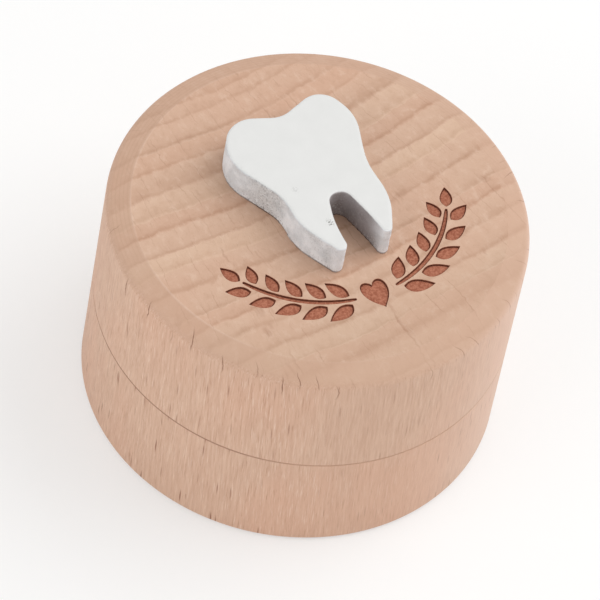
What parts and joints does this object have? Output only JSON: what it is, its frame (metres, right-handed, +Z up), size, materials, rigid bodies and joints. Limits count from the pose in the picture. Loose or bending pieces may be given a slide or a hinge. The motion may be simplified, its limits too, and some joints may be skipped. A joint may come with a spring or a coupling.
{
  "type": "baby tooth keepsake box",
  "caption": "Small round turned beech box with a lift-off lid over a spigot, a round well inside and a thick white tooth-shaped plaque on the lid.",
  "frame": {"origin": "middle of the base's flat underside", "axes": "+Z up the axis of the box, +Y the way that the crown of the tooth on the lid points, +X to its right as seen from above"},
  "size_m": [0.05, 0.05, 0.0356],
  "materials": {
    "beech": "bare sanded beech, end grain on the lid's top",
    "white_paint": "matt white paint on sawn wood"
  },
  "bodies": {
    "base": {"base": "beech"},
    "lid": {"lid": "beech", "tooth_plaque": "white_paint"}
  },
  "joints": [
    {"name": "lid_lift", "type": "slide", "parent": "base", "child": "lid", "axis": [0, 0, 1], "range_m": [0, 0.05]}
  ]
}
